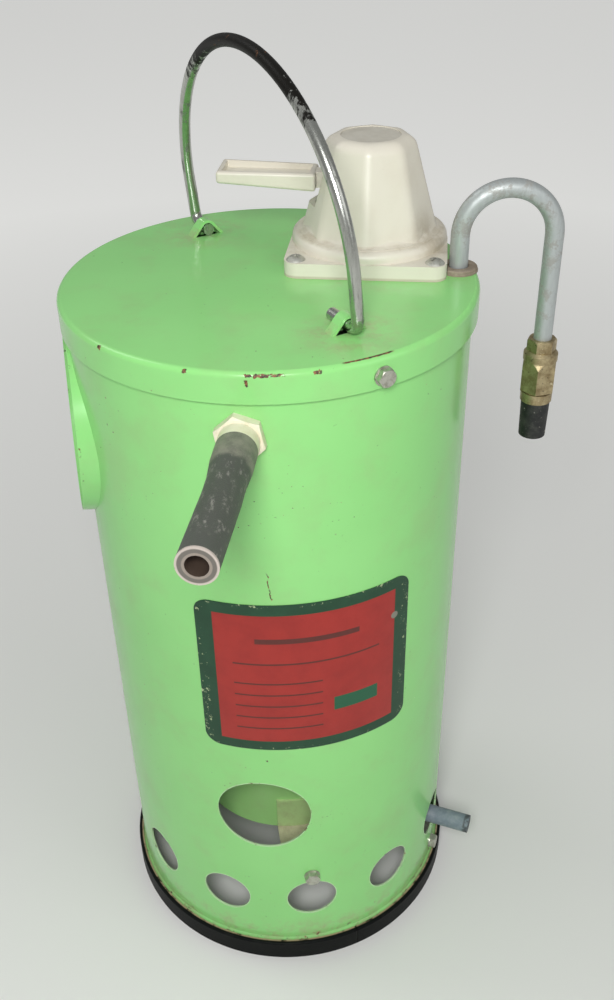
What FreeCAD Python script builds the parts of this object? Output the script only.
import FreeCAD, Part
import math
import os
import Sketcher

# Portable hand-pumped propane water heater.
# Millimetres. +Z is up, the origin is the centre of the base on the ground, and the pump's
# flat front faces -Y. An azimuth is counted from -Y towards +X, in degrees.

SIZES = {
    # Shared clearances and overruns
    "fit_gap": 0.1,
    "run_gap": 0.35,
    "overrun": 4.0,

    # Outer shell
    "shell_radius": 102.0,
    "shell_wall": 1.0,
    "shell_bottom": 2.5,
    "shell_flare": 1.2,
    "flare_low": 13.0,
    "flare_high": 15.5,
    "hem_wall": 1.0,
    "hem_height": 12.0,
    "vent_radius": 15.0,
    "vent_height": 53.7,
    "vent_azimuth": 6.5,
    "vent_count": 12,
    "light_hole_radius": 26.8,
    "light_hole_height": 130.3,
    "light_hole_azimuth": -8.5,

    # Base ring
    "ring_wall": 3.0,
    "ring_height": 14.0,
    "ring_lip": 10.0,
    "ring_inner_wall": 2.0,
    "ring_round": 1.2,

    # Lid
    "lid_top": 414.0,
    "lid_wall": 1.5,
    "lid_skirt": 15.0,
    "lid_edge_round": 2.6,

    # Lanced straps that hold the bail
    "strap_azimuth": 27.4,
    "strap_distance": 73.2,
    "strap_width": 6.5,
    "strap_slope": 50.0,

    # Bail
    "bail_rod_radius": 3.0,
    "bail_half_width": 84.0,
    "bail_leg": 24.0,
    "bail_bend": 6.5,
    "bail_lean": 5.5,
    "bail_end_front": 61.0,
    "bail_end_back": 68.6,

    # Hex screws
    "screw_across": 8.0,
    "screw_flange": 4.75,
    "screw_flange_wall": 0.8,
    "screw_head": 4.2,
    "screw_shank": 2.3,
    "screw_length": 9.0,
    "lid_screw_azimuth": 27.2,
    "lid_screw_drop": 9.0,
    "lid_screw_count": 2,

    # Pump
    "pump_inset": 48.8,
    "pump_y": 31.0,
    "pump_turn": -9.0,
    "plate_half": 40.5,
    "plate_wall": 7.7,
    "plate_corner": 7.0,
    "plate_screw_inset": 6.0,
    "drum_inset": 0.4,
    "drum_wall": 5.6,
    "drum_shoulder": 3.6,
    "tower_foot_radius": 35.4,
    "foot_flare": 1.1,
    "foot_flare_height": 5.0,
    "tower_top_radius": 22.4,
    "tower_height": 60.1,
    "tower_wall": 3.3,
    "tower_roof": 5.0,
    "tower_corner": 8.0,
    "tower_round": 7.0,
    "cap_radius": 15.0,
    "cap_wall": 1.0,
    "cap_recess": 1.4,

    # Pump lever
    "pivot_reach": 17.0,
    "pivot_height": 38.0,
    "pivot_pin_radius": 2.0,
    "lever_tip": 77.2,
    "lever_tip_half_width": 11.8,
    "lever_root_half_width": 9.8,
    "lever_tip_top": 5.6,
    "lever_tip_bottom": 0.4,
    "lever_root_top": 4.5,
    "lever_root_bottom": 4.6,
    "lever_root": 27.0,
    "lever_rim": 2.8,
    "lever_dish": 2.6,
    "lever_round": 1.6,
    "lever_arm_half_width": 4.0,
    "lever_arm_half_height": 4.0,
    "lever_arm_end": 4.5,
    "lever_slot_half_width": 10.9,
    "lever_slot_rise": 12.0,

    # Piston
    "rod_radius": 3.0,
    "rod_pin_radius": 1.5,
    "clevis_half_x": 4.5,
    "clevis_cheek": 2.6,
    "clevis_rise": 5.5,
    "clevis_drop": 12.0,
    "slot_slack": 1.1,
    "piston_drop": 46.0,
    "piston_wall": 9.0,
    "seal_wall": 3.0,
    "seal_depth": 2.0,

    # Pump cylinder
    "cylinder_bore": 17.2,
    "cylinder_wall": 2.8,
    "cylinder_above": 9.0,
    "cylinder_below": 76.0,
    "cylinder_floor": 3.0,
    "guide_wall": 4.0,
    "port_radius": 4.75,
    "port_bore": 3.0,
    "port_length": 14.0,
    "port_rise": 10.0,
    "outlet_offset": 13.4,
    "outlet_length": 18.0,
    "lock_ring_width": 6.0,
    "lock_ring_wall": 4.0,

    # Pump screws
    "pan_radius": 4.9,
    "pan_rise": 2.5,
    "pan_shank": 2.0,
    "pan_length": 12.0,
    "cross_half_width": 0.7,
    "cross_half_length": 2.8,
    "cross_depth": 1.5,

    # Spout
    "spout_azimuth": 90.5,
    "spout_inset": 6.7,
    "spout_turn": -2.1,
    "spout_radius": 4.75,
    "spout_bore": 3.6,
    "spout_rise": 17.8,
    "spout_bend": 23.3,
    "spout_foot_drop": 34.0,
    "spout_end_drop": 52.0,
    "grommet_radius": 9.9,
    "grommet_wall": 1.1,
    "washer_radius": 9.5,
    "washer_wall": 1.4,
    "washer_play": 0.7,
    "spout_nut_across": 13.6,
    "spout_nut_drop": 38.4,
    "spout_nut_height": 6.6,
    "coupling_across": 17.0,
    "coupling_shoulder": 5.3,
    "coupling_shoulder_radius": 9.0,
    "coupling_hex": 17.7,
    "coupling_groove": 1.0,
    "coupling_groove_radius": 7.4,
    "coupling_collar_radius": 8.4,
    "coupling_collar_height": 5.4,
    "spout_hose_radius": 7.7,
    "spout_hose_bore": 4.6,
    "spout_hose_end_radius": 7.2,
    "spout_hose_length": 21.5,
    "coupling_tail": 12.0,
    "coupling_barb": 5.2,
    "union_radius": 5.4,
    "union_length": 24.0,

    # Heating coil
    "coil_radius": 45.0,
    "coil_pitch": 14.0,
    "coil_turns": 9.6,
    "coil_low": 104.5,
    "coil_bend": 15.0,
    "riser_distance": 75.0,
    "riser_azimuth": 120.2,
    "riser_top": 308.0,
    "sleeve_wall": 2.6,
    "sleeve_length": 34.0,

    # Inner liner and flue
    "liner_radius": 60.0,
    "liner_wall": 1.0,
    "liner_low": 70.0,
    "liner_high": 285.0,
    "liner_cap_wall": 1.2,
    "tube_hole": 6.6,
    "flue_height": 340.0,
    "flue_radius": 51.5,
    "flue_wall": 1.0,
    "flue_slant": 11.7,
    "flue_tilt": 2.8,
    "flue_stub": 4.0,
    "flue_inset": 18.0,
    "duct_inset": 12.0,
    "duct_back": 25.0,
    "neck_radius": 42.0,

    # Liner brackets
    "bracket_wall": 1.5,
    "bracket_half_width": 15.0,
    "bracket_tab": 25.0,
    "bracket_flange": 14.0,
    "bracket_screw_rise": 5.2,
    "bracket_azimuth": 6.6,
    "bracket_count": 3,

    # Burner
    "bar_azimuth": 66.5,
    "bar_half_width": 10.0,
    "bar_wall": 1.5,
    "bar_low": 17.0,
    "bar_high": 36.5,
    "bar_screw_height": 24.6,
    "burner_radius": 34.0,
    "burner_low": 43.0,
    "burner_high": 60.0,
    "burner_stem": 12.0,
    "burner_dish_radius": 14.0,
    "burner_dish_depth": 6.0,
    "port_ring_radius": 26.0,
    "port_hole_radius": 1.3,
    "port_hole_depth": 5.0,
    "port_hole_count": 24,
    "mixer_azimuth": 66.5,
    "mixer_height": 51.5,
    "mixer_radius": 8.0,
    "mixer_wall": 1.0,
    "mixer_inner": 22.0,
    "mixer_outer": 80.0,
    "window_near": 60.0,
    "window_far": 72.0,
    "window_half": 4.0,
    "jet_near": 74.0,
    "jet_far": 84.5,
    "nozzle_near": 66.0,
    "nozzle_radius": 2.2,
    "jet_bore": 1.2,
    "gas_hose_stub": 25.0,
    "gas_hose_radius": 5.75,
    "gas_hose_bore": 3.0,
    "gas_barb_length": 15.0,
    "gas_barb": 3.4,

    # Water inlet
    "inlet_azimuth": -8.5,
    "inlet_height": 381.7,
    "inlet_across": 21.0,
    "inlet_hex_wall": 4.6,
    "inlet_hex_turn": 42.0,
    "inlet_collar_radius": 9.4,
    "inlet_collar_wall": 7.5,
    "inlet_thread": 6.4,
    "inlet_bore": 3.4,
    "inlet_barb_length": 18.0,
    "inlet_nut_wall": 4.0,
    "inlet_nut_radius": 10.5,
    "hose_radius": 8.5,
    "hose_bore": 4.75,
    "hose_straight": 26.0,
    "hose_bulge": 9.5,
    "hose_bulge_peak": 13.0,
    "hose_turn": 12.0,
    "hose_turn_radius": 90.0,
    "hose_run": 45.7,
    "hose_veer": 1.1,
    "hose_lift": 1.8,
    "inner_hose_radius": 7.5,
    "inner_hose_lead": 39.0,
    "inner_hose_rise": 35.1,
    "inner_hose_azimuth": 36.0,
    "inner_hose_distance": 64.0,
    "inner_hose_sag": 4.0,
    "clamp_wall": 0.9,
    "clamp_length": 8.0,
    "clamp_ear": 3.4,

    # Label
    "label_azimuth": 7.1,
    "label_half_width": 55.1,
    "label_low": 185.0,
    "label_high": 286.0,
    "label_corner": 8.0,
    "label_wall": 0.35,
}

doc = FreeCAD.newDocument("WaterHeater")
sheet = doc.addObject("Spreadsheet::Sheet", "Sizes")
NODES = []


class Size(float):
    """A number that remembers the sheet expression it came from."""

    def __new__(cls, value, text):
        size = super().__new__(cls, value)
        size.text = text
        return size

    def joined(self, other, sign, value, other_first=False):
        pair = [self.text, words(other)]
        if other_first:
            pair.reverse()
        return Size(value, "(" + sign.join(pair) + ")")

    def __add__(self, other):
        return self.joined(other, " + ", float(self) + float(other))

    def __radd__(self, other):
        return self.joined(other, " + ", float(other) + float(self), True)

    def __sub__(self, other):
        return self.joined(other, " - ", float(self) - float(other))

    def __rsub__(self, other):
        return self.joined(other, " - ", float(other) - float(self), True)

    def __mul__(self, other):
        return self.joined(other, " * ", float(self) * float(other))

    def __rmul__(self, other):
        return self.joined(other, " * ", float(other) * float(self), True)

    def __truediv__(self, other):
        return self.joined(other, " / ", float(self) / float(other))

    def __neg__(self):
        return Size(-float(self), "(0 - " + self.text + ")")


def words(number):
    """The sheet expression of a size, or the plain number."""
    return number.text if isinstance(number, Size) else repr(float(number))


class Sheet:
    """The named sizes, read from the document's sheet."""

    def __init__(self):
        for row, (name, value) in enumerate(SIZES.items(), start=1):
            sheet.set("A%d" % row, name)
            sheet.set("B%d" % row, str(value))
            sheet.setAlias("B%d" % row, name)
        doc.recompute()
        for name in SIZES:
            setattr(self, name, Size(sheet.get(name), "Sizes." + name))


s = Sheet()

# Sizes that follow from the named ones
shell_inner = s.shell_radius - s.shell_wall
flare_radius = s.shell_radius + s.shell_flare
ring_radius = flare_radius + s.ring_wall
lid_low = s.lid_top - s.lid_wall
lid_inner = s.shell_radius + s.hem_wall + s.run_gap
lid_radius = lid_inner + s.lid_wall
screw_hole = s.screw_shank + s.fit_gap * 2
drum_radius = s.plate_half - s.drum_inset
drum_top = s.plate_wall + s.drum_wall
cylinder_radius = s.cylinder_bore + s.cylinder_wall
guide_top = s.cylinder_above + s.guide_wall
pivot_bottom = lid_low - s.cylinder_below
strap_eye = s.bail_rod_radius + s.run_gap
bail_height = s.bail_rod_radius + s.run_gap
pump_x = s.shell_radius - s.pump_inset
spout_distance = s.shell_radius - s.spout_inset
flue_reach = s.shell_radius + s.flue_stub
flue_depth = s.shell_radius - s.flue_inset
duct_mouth = s.shell_radius - s.duct_inset
gas_hose_far = s.shell_radius + s.gas_hose_stub
hose_seat = s.shell_radius + s.inlet_hex_wall + s.inlet_collar_wall
coupling_top = -s.spout_nut_drop - s.spout_nut_height
hex_top = coupling_top - s.coupling_shoulder
hex_low = hex_top - s.coupling_hex
coupling_low = hex_low - s.coupling_groove - s.coupling_collar_height

# Directions and shares
left_side = Size(-90, "-90")
screw_turns = (20, 65)
coupling_turn = 15
grommet_edge_share = 0.3
bend_share = 0.45
foot_shares = (0.2, 0.4, 0.6, 0.8, 1.0)
foot_edge_share = 0.2
shoulder_share = 0.3


# Vectors and frames

def V(x=0.0, y=0.0, z=0.0):
    return FreeCAD.Vector(float(x), float(y), float(z))


def unit(vector):
    return vector * (1 / vector.Length)


def outward(azimuth):
    """Unit vector that points away from the shell's axis at an azimuth."""
    angle = math.radians(azimuth)
    return FreeCAD.Vector(math.sin(angle), -math.cos(angle), 0)


def facing(azimuth, distance, height):
    """A frame on the shell: +Z points outward, +Y points up."""
    turn = FreeCAD.Rotation(FreeCAD.Vector(0, 0, 1), float(azimuth))
    tip = FreeCAD.Rotation(FreeCAD.Vector(1, 0, 0), 90)
    return FreeCAD.Placement(outward(azimuth) * float(distance) + V(0, 0, height), turn * tip)


def upright(x, y, z, turn=0.0):
    return FreeCAD.Placement(V(x, y, z), FreeCAD.Rotation(FreeCAD.Vector(0, 0, 1), float(turn)))


pump_frame = upright(pump_x, s.pump_y, s.lid_top, s.pump_turn)


# Document objects

def node(item, label):
    """Marks an object as one of the heater's pieces."""
    item.Label = label
    NODES.append(item)
    return item


def feature(name, shape, placement=None):
    item = doc.addObject("Part::Feature", name)
    item.Shape = shape
    if placement:
        item.Placement = placement
    return item


def bind(item, **sizes):
    for name, size in sizes.items():
        item.setExpression(name, words(size))
    return item


def cylinder(name, radius, height, low=0.0, x=0.0, y=0.0):
    item = doc.addObject("Part::Cylinder", name)
    bind(item, Radius=radius, Height=height)
    for axis, size in (("x", x), ("y", y), ("z", low)):
        item.setExpression("Placement.Base." + axis, words(size))
    return item


def placed_cylinder(name, radius, height, placement):
    item = doc.addObject("Part::Cylinder", name)
    bind(item, Radius=radius, Height=height)
    item.Placement = placement
    return item


def box(name, x_size, y_size, z_size, placement):
    item = doc.addObject("Part::Box", name)
    bind(item, Length=x_size, Width=y_size, Height=z_size)
    item.Placement = placement
    return item


def fuse(name, items):
    item = doc.addObject("Part::MultiFuse", name)
    item.Shapes = items
    return item


def common(name, items):
    item = doc.addObject("Part::MultiCommon", name)
    item.Shapes = items
    return item


def cut(name, base, tools):
    item = doc.addObject("Part::Cut", name)
    item.Base = base
    item.Tool = tools[0] if len(tools) == 1 else fuse(name + "_tools", tools)
    return item


def ring_band(name, inner, outer, low, high):
    """A plain band round the shell's axis."""
    return cut(name, cylinder(name + "_outer", outer, high - low, low),
               [cylinder(name + "_inner", inner, high - low + s.overrun * 2, low - s.overrun)])


def sector(name, inner, outer, low, high, half_width, azimuth):
    """The part of a band that lies within a strip along one azimuth."""
    frame = facing(azimuth, 0, low)
    frame.Base = frame.Base - frame.Rotation.multVec(V(half_width))
    strip = box(name + "_strip", half_width * 2, high - low, outer + s.overrun, frame)
    return common(name, [ring_band(name + "_band", inner, outer, low, high), strip])


# Sketches and bodies

def origin_item(body, role):
    return next(item for item in body.Origin.OriginFeatures if item.Role == role)


def new_sketch(body, name, plane, azimuth=None):
    sketch = body.newObject("Sketcher::SketchObject", name)
    sketch.AttachmentSupport = [(origin_item(body, plane), "")]
    sketch.MapMode = "FlatFace"
    if azimuth is not None:
        sketch.AttachmentOffset = FreeCAD.Placement(V(), FreeCAD.Rotation(FreeCAD.Vector(0, 1, 0), 1))
        sketch.setExpression("AttachmentOffset.Rotation.Angle", words(azimuth))
    return sketch


def hold(sketch, kind, geometry, point, size):
    """Ties one coordinate of a point to the origin with a size."""
    if float(size) == 0:
        axis = -2 if kind == "DistanceX" else -1
        sketch.addConstraint(Sketcher.Constraint("PointOnObject", geometry, point, axis))
        return
    index = sketch.addConstraint(Sketcher.Constraint(kind, -1, 1, geometry, point, float(size)))
    name = "%s%d_%d" % (kind[-1].lower(), geometry, point)
    sketch.renameConstraint(index, name)
    sketch.setExpression("Constraints." + name, words(size))


def polygon_sketch(body, name, plane, points):
    sketch = new_sketch(body, name, plane)
    count = len(points)
    corners = [V(x, y) for x, y in points]
    for i in range(count):
        sketch.addGeometry(Part.LineSegment(corners[i], corners[(i + 1) % count]), False)
    for i in range(count):
        sketch.addConstraint(Sketcher.Constraint("Coincident", i, 2, (i + 1) % count, 1))
    for i, (x, y) in enumerate(points):
        hold(sketch, "DistanceX", i, 1, x)
        hold(sketch, "DistanceY", i, 1, y)
    return sketch


def circle_sketch(body, name, plane, x, y, radius, azimuth=None):
    sketch = new_sketch(body, name, plane, azimuth)
    sketch.addGeometry(Part.Circle(V(x, y), FreeCAD.Vector(0, 0, 1), float(radius)), False)
    hold(sketch, "DistanceX", 0, 3, x)
    hold(sketch, "DistanceY", 0, 3, y)
    index = sketch.addConstraint(Sketcher.Constraint("Radius", 0, float(radius)))
    sketch.renameConstraint(index, "radius")
    sketch.setExpression("Constraints.radius", words(radius))
    return sketch


def revolved(name, points):
    """A body turned round its vertical axis from an outline of radius and height pairs."""
    body = doc.addObject("PartDesign::Body", name)
    sketch = polygon_sketch(body, name + "_outline", "XZ_Plane", points)
    turned = body.newObject("PartDesign::Revolution", name + "_turned")
    turned.Profile = sketch
    turned.ReferenceAxis = (sketch, ["V_Axis"])
    turned.Angle = 360
    doc.recompute()
    return body


def pocket(body, sketch, length, reverse=False):
    """Cuts a sketch into the body and checks that material went away."""
    before = body.Tip.Shape.Volume
    item = body.newObject("PartDesign::Pocket", sketch.Name + "_cut")
    item.Profile = sketch
    item.Reversed = reverse
    bind(item, Length=length)
    doc.recompute()
    if not item.Shape.Volume < before:
        raise RuntimeError(sketch.Name + " cuts nothing")
    return item


def wall_hole(body, name, azimuth, height, radius, length):
    """A round hole through the wall at one azimuth."""
    sketch = circle_sketch(body, name, "XZ_Plane", 0, height, radius, azimuth)
    return pocket(body, sketch, length, True)


def top_hole(body, name, x, y, radius, length):
    sketch = circle_sketch(body, name, "XY_Plane", x, y, radius)
    return pocket(body, sketch, length, True)


def turned_copies(body, item, count):
    pattern = body.newObject("PartDesign::PolarPattern", item.Name + "_copies")
    pattern.Originals = [item]
    pattern.Axis = (origin_item(body, "Z_Axis"), [""])
    pattern.Angle = 360
    bind(pattern, Occurrences=count)
    body.Tip = pattern
    doc.recompute()
    return pattern


def round_edges(body, radius, wanted):
    """Fillets the body's edges that the test picks."""
    base = body.Tip
    names = ["Edge%d" % (i + 1) for i, edge in enumerate(base.Shape.Edges) if wanted(edge)]
    if not names:
        raise RuntimeError(body.Name + " has no such edge")
    item = body.newObject("PartDesign::Fillet", body.Name + "_round%d" % len(body.Group))
    item.Base = (base, names)
    bind(item, Radius=radius)
    doc.recompute()
    return item


def near(value, size):
    return abs(value - float(size)) < float(s.fit_gap) / 10


def ring_edge(radius, height):
    """Test for a full circle of this radius about the vertical at this height."""
    def wanted(edge):
        curve = edge.Curve
        return (isinstance(curve, Part.Circle) and near(curve.Radius, radius)
                and near(curve.Center.z, height) and abs(curve.Axis.z) > 0.99)
    return wanted


# Shapes that are swept, lofted or repeated

def tangent_arc(start, heading, end):
    """The arc that leaves start along heading and reaches end."""
    chord = end - start
    along = unit(chord)
    side = heading - along * heading.dot(along)
    half = heading.getAngle(chord)
    rise = chord.Length / 2 * math.tan(half / 2)
    return Part.Arc(start, (start + end) * 0.5 + unit(side) * rise, end).toShape()


def route(points, radii):
    """Straight runs joined by tangent arcs, one radius for each inner point."""
    edges = []
    start = points[0]
    for before, corner, after, radius in zip(points, points[1:], points[2:], radii):
        into = unit(corner - before)
        away = unit(after - corner)
        half = into.getAngle(away) / 2
        reach = float(radius) * math.tan(half)
        first = corner - into * reach
        last = corner + away * reach
        middle = corner + unit(away - into) * (float(radius) / math.cos(half) - float(radius))
        edges.append(Part.LineSegment(start, first).toShape())
        edges.append(Part.Arc(first, middle, last).toShape())
        start = last
    edges.append(Part.LineSegment(start, points[-1]).toShape())
    return Part.Wire(edges)


def swept(path, radius):
    """A round bar along a path of lines and arcs."""
    first = path.OrderedEdges[0]
    start = first.valueAt(first.FirstParameter)
    heading = first.tangentAt(first.FirstParameter)
    circle = Part.Wire([Part.Circle(start, heading, float(radius)).toShape()])
    pipe = Part.BRepOffsetAPI.MakePipeShell(path)
    pipe.add(circle)
    pipe.build()
    pipe.makeSolid()
    return pipe.shape()


def tube(path, radius, bore):
    return swept(path, radius).cut(swept(path, bore))


def rod(radius, low, high):
    """A round bar along its own Z."""
    return Part.makeCylinder(float(radius), float(high) - float(low), V(0, 0, low))


def sleeve(radius, bore, low, high):
    return rod(radius, low, high).cut(rod(bore, low - s.overrun, high + s.overrun))


def prism(points, low, high):
    corners = [V(x, y, low) for x, y in points]
    face = Part.Face(Part.makePolygon(corners + corners[:1]))
    return face.extrude(V(0, 0, high - low))


def hexagon(across, low, high, turn=0.0):
    corner = float(across) / math.sqrt(3)
    angles = [math.radians(float(turn) + 60 * i) for i in range(6)]
    return prism([(corner * math.cos(a), corner * math.sin(a)) for a in angles], low, high)


def turned_shape(points):
    """A solid turned round its own Z from radius and height pairs."""
    corners = [V(radius, 0, height) for radius, height in points]
    face = Part.Face(Part.makePolygon(corners + corners[:1]))
    return face.revolve(V(), FreeCAD.Vector(0, 0, 1), 360)


def softened_hexagon(across, low, high, turn=0.0):
    """A hexagon whose outer corners are turned off at the top."""
    corner = across / math.sqrt(3)
    bevel = (high - low) / 5
    dome = turned_shape([(0, low), (corner + s.fit_gap, low), (corner + s.fit_gap, high - bevel),
                         (across / 2, high), (0, high)])
    return hexagon(across, low, high, turn).common(dome)


def hex_screw():
    """Head with a washer flange, outward along +Z, and a plain shank behind it."""
    head = softened_hexagon(s.screw_across, 0, s.screw_head)
    flange = rod(s.screw_flange, 0, s.screw_flange_wall)
    shank = rod(s.screw_shank, -s.screw_length, 0)
    return head.fuse([flange, shank]).removeSplitter()


def moved(shape, placement):
    return shape.transformed(placement.toMatrix(), True)


def spread(count, start):
    """Azimuths of equal steps round the shell."""
    return [float(start) + 360 / int(count) * i for i in range(int(count))]


# Outer shell and base ring

def outer_shell():
    flare_inner = flare_radius - s.shell_wall
    hem = s.shell_radius + s.hem_wall
    body = revolved("outer_shell", [
        (flare_inner, s.shell_bottom), (flare_radius, s.shell_bottom),
        (flare_radius, s.flare_low), (s.shell_radius, s.flare_high),
        (s.shell_radius, lid_low - s.hem_height), (hem, lid_low - s.hem_height),
        (hem, lid_low), (shell_inner, lid_low),
        (shell_inner, s.flare_high), (flare_inner, s.flare_low)])
    length = flare_radius + s.overrun
    vent = wall_hole(body, "vent", s.vent_azimuth, s.vent_height, s.vent_radius, length)
    turned_copies(body, vent, s.vent_count)
    wall_hole(body, "light_hole", s.light_hole_azimuth, s.light_hole_height,
              s.light_hole_radius, length)
    wall_hole(body, "flue_hole", left_side, s.flue_height, s.flue_radius + s.fit_gap, length)
    wall_hole(body, "inlet_hole", s.inlet_azimuth, s.inlet_height,
              s.inlet_thread + s.fit_gap, length)
    liner_screw = wall_hole(body, "liner_screw_hole", s.bracket_azimuth,
                            s.liner_low + s.bracket_screw_rise, screw_hole, length)
    turned_copies(body, liner_screw, s.bracket_count)
    wall_hole(body, "bar_screw_hole", s.bar_azimuth, s.bar_screw_height, screw_hole, length)
    wall_hole(body, "bar_screw_hole_far", s.bar_azimuth + 180, s.bar_screw_height,
              screw_hole, length)
    lid_screw = wall_hole(body, "lid_screw_hole", s.lid_screw_azimuth,
                          s.lid_top - s.lid_screw_drop, screw_hole, length)
    turned_copies(body, lid_screw, s.lid_screw_count)
    return node(body, "outer_shell")


def base_ring():
    flare_inner = flare_radius - s.shell_wall
    body = revolved("base_ring", [
        (flare_inner - s.ring_inner_wall, 0), (ring_radius, 0), (ring_radius, s.ring_height),
        (flare_radius, s.ring_height), (flare_radius, s.shell_bottom),
        (flare_inner, s.shell_bottom), (flare_inner, s.ring_lip),
        (flare_inner - s.ring_inner_wall, s.ring_lip)])
    round_edges(body, s.ring_round, ring_edge(ring_radius, s.ring_height))
    return node(body, "base_ring")


# Lid with its two lanced straps

def strap_outline(eye, low):
    """Half-round over the rod with straight legs down to a height."""
    slope = math.radians(s.strap_slope)
    side = float(eye) * math.sin(slope)
    shoulder = bail_height + float(eye) * math.cos(slope)
    foot = (float(eye) + (float(bail_height) - float(low)) * math.cos(slope)) / math.sin(slope)
    left, right = V(-side, shoulder), V(side, shoulder)
    edges = [Part.LineSegment(V(-foot, low), left).toShape(),
             Part.Arc(left, V(0, bail_height + eye), right).toShape(),
             Part.LineSegment(right, V(foot, low)).toShape(),
             Part.LineSegment(V(foot, low), V(-foot, low)).toShape()]
    return Part.Face(Part.Wire(edges))


def strap_shape():
    """One strap in a frame on the lid: X across the strap, Y up, Z along its width."""
    along = V(0, 0, s.strap_width)
    outer = strap_outline(strap_eye + s.lid_wall, -s.lid_wall / 2).extrude(along)
    inner = strap_outline(strap_eye, -s.lid_wall).extrude(along)
    return outer.cut(inner)


def strap_slot_half():
    slope = math.radians(s.strap_slope)
    return (strap_eye + bail_height * math.cos(slope)) / math.sin(slope)


def lid():
    body = revolved("lid_sheet", [
        (0, s.lid_top), (lid_radius, s.lid_top), (lid_radius, s.lid_top - s.lid_skirt),
        (lid_inner, s.lid_top - s.lid_skirt), (lid_inner, lid_low), (0, lid_low)])
    round_edges(body, s.lid_edge_round, ring_edge(lid_radius, s.lid_top))
    length = s.lid_top + s.overrun
    top_hole(body, "pump_hole", pump_x, s.pump_y, cylinder_radius + s.fit_gap, length)
    spout_x = spout_distance * math.sin(math.radians(s.spout_azimuth))
    spout_y = spout_distance * -math.cos(math.radians(s.spout_azimuth))
    top_hole(body, "spout_hole", spout_x, spout_y, s.spout_radius + s.fit_gap, length)
    inset = s.plate_half - s.plate_screw_inset
    turn = math.radians(s.pump_turn)
    for side, name in ((-1, "left"), (1, "right")):
        x = pump_x + inset * (side * math.cos(turn)) + inset * math.sin(turn)
        y = s.pump_y + inset * (side * math.sin(turn)) - inset * math.cos(turn)
        top_hole(body, "pump_screw_hole_" + name, x, y, s.pan_shank + s.fit_gap * 2, length)
    screw = wall_hole(body, "lid_screw_hole_skirt", s.lid_screw_azimuth,
                      s.lid_top - s.lid_screw_drop, screw_hole, lid_radius + s.overrun)
    turned_copies(body, screw, s.lid_screw_count)
    half = strap_slot_half()
    slots, straps = [], []
    for index, azimuth in enumerate(spread(2, s.strap_azimuth)):
        frame = facing(azimuth, s.strap_distance - s.strap_width / 2, s.lid_top)
        slot_frame = frame.multiply(FreeCAD.Placement(V(-half, -s.overrun), FreeCAD.Rotation()))
        slots.append(box("strap_slot%d" % index, half * 2, s.overrun * 2, s.strap_width, slot_frame))
        straps.append(feature("strap%d" % index, strap_shape(), frame))
    sheet_cut = cut("lid_slotted", body, slots)
    return node(fuse("lid", [sheet_cut] + straps), "lid")


# Bail handle

def bail_point(along, rise):
    """A point of the bail's plane, which leans away from the pump."""
    axis = outward(s.strap_azimuth)
    lean = math.radians(s.bail_lean)
    away = FreeCAD.Vector(0, 0, 1).cross(axis)
    up = FreeCAD.Vector(0, 0, 1) * math.cos(lean) - away * math.sin(lean)
    return V(0, 0, s.lid_top + bail_height) + axis * float(along) + up * float(rise)


def bail_handle():
    half, leg, bend = s.bail_half_width, s.bail_leg, s.bail_bend
    corner = bend * (1 - math.sqrt(0.5))
    edges = []

    def line(start, end):
        edges.append(Part.LineSegment(bail_point(*start), bail_point(*end)).toShape())

    def arc(start, middle, end):
        edges.append(Part.Arc(bail_point(*start), bail_point(*middle), bail_point(*end)).toShape())

    line((s.bail_end_front, 0), (half - bend, 0))
    arc((half - bend, 0), (half - corner, corner), (half, bend))
    line((half, bend), (half, leg))
    arc((half, leg), (half * math.sqrt(0.5), leg + half * math.sqrt(0.5)), (0, leg + half))
    arc((0, leg + half), (-half * math.sqrt(0.5), leg + half * math.sqrt(0.5)), (-half, leg))
    line((-half, leg), (-half, bend))
    arc((-half, bend), (corner - half, corner), (bend - half, 0))
    line((bend - half, 0), (-s.bail_end_back, 0))
    return node(feature("bail_handle", swept(Part.Wire(edges), s.bail_rod_radius)), "bail_handle")


# Pump housing

def rounded_outline(radius, corner, height, count=8):
    """A regular outline with round corners, one corner towards the front."""
    step = 2 * math.pi / count
    points = [V(radius * math.sin(i * step), -radius * math.cos(i * step), height)
              for i in range(count)]
    reach = float(corner) * math.tan(step / 2)
    edges = []
    for i, point in enumerate(points):
        into = unit(point - points[i - 1])
        away = unit(points[(i + 1) % count] - point)
        first, last = point - into * reach, point + away * reach
        middle = point - unit(point - V(0, 0, height)) * (float(corner) / math.cos(step / 2)
                                                          - float(corner))
        edges.append(Part.Arc(first, middle, last).toShape())
        following = points[(i + 1) % count]
        edges.append(Part.LineSegment(last, following - away * reach).toShape())
    return Part.Wire(edges)


def front_corner(edge):
    """Test for an upright edge at the front of the pump's plate."""
    centre = edge.CenterOfMass
    return near(abs(centre.x), s.plate_half) and near(centre.y, -s.plate_half)


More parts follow.
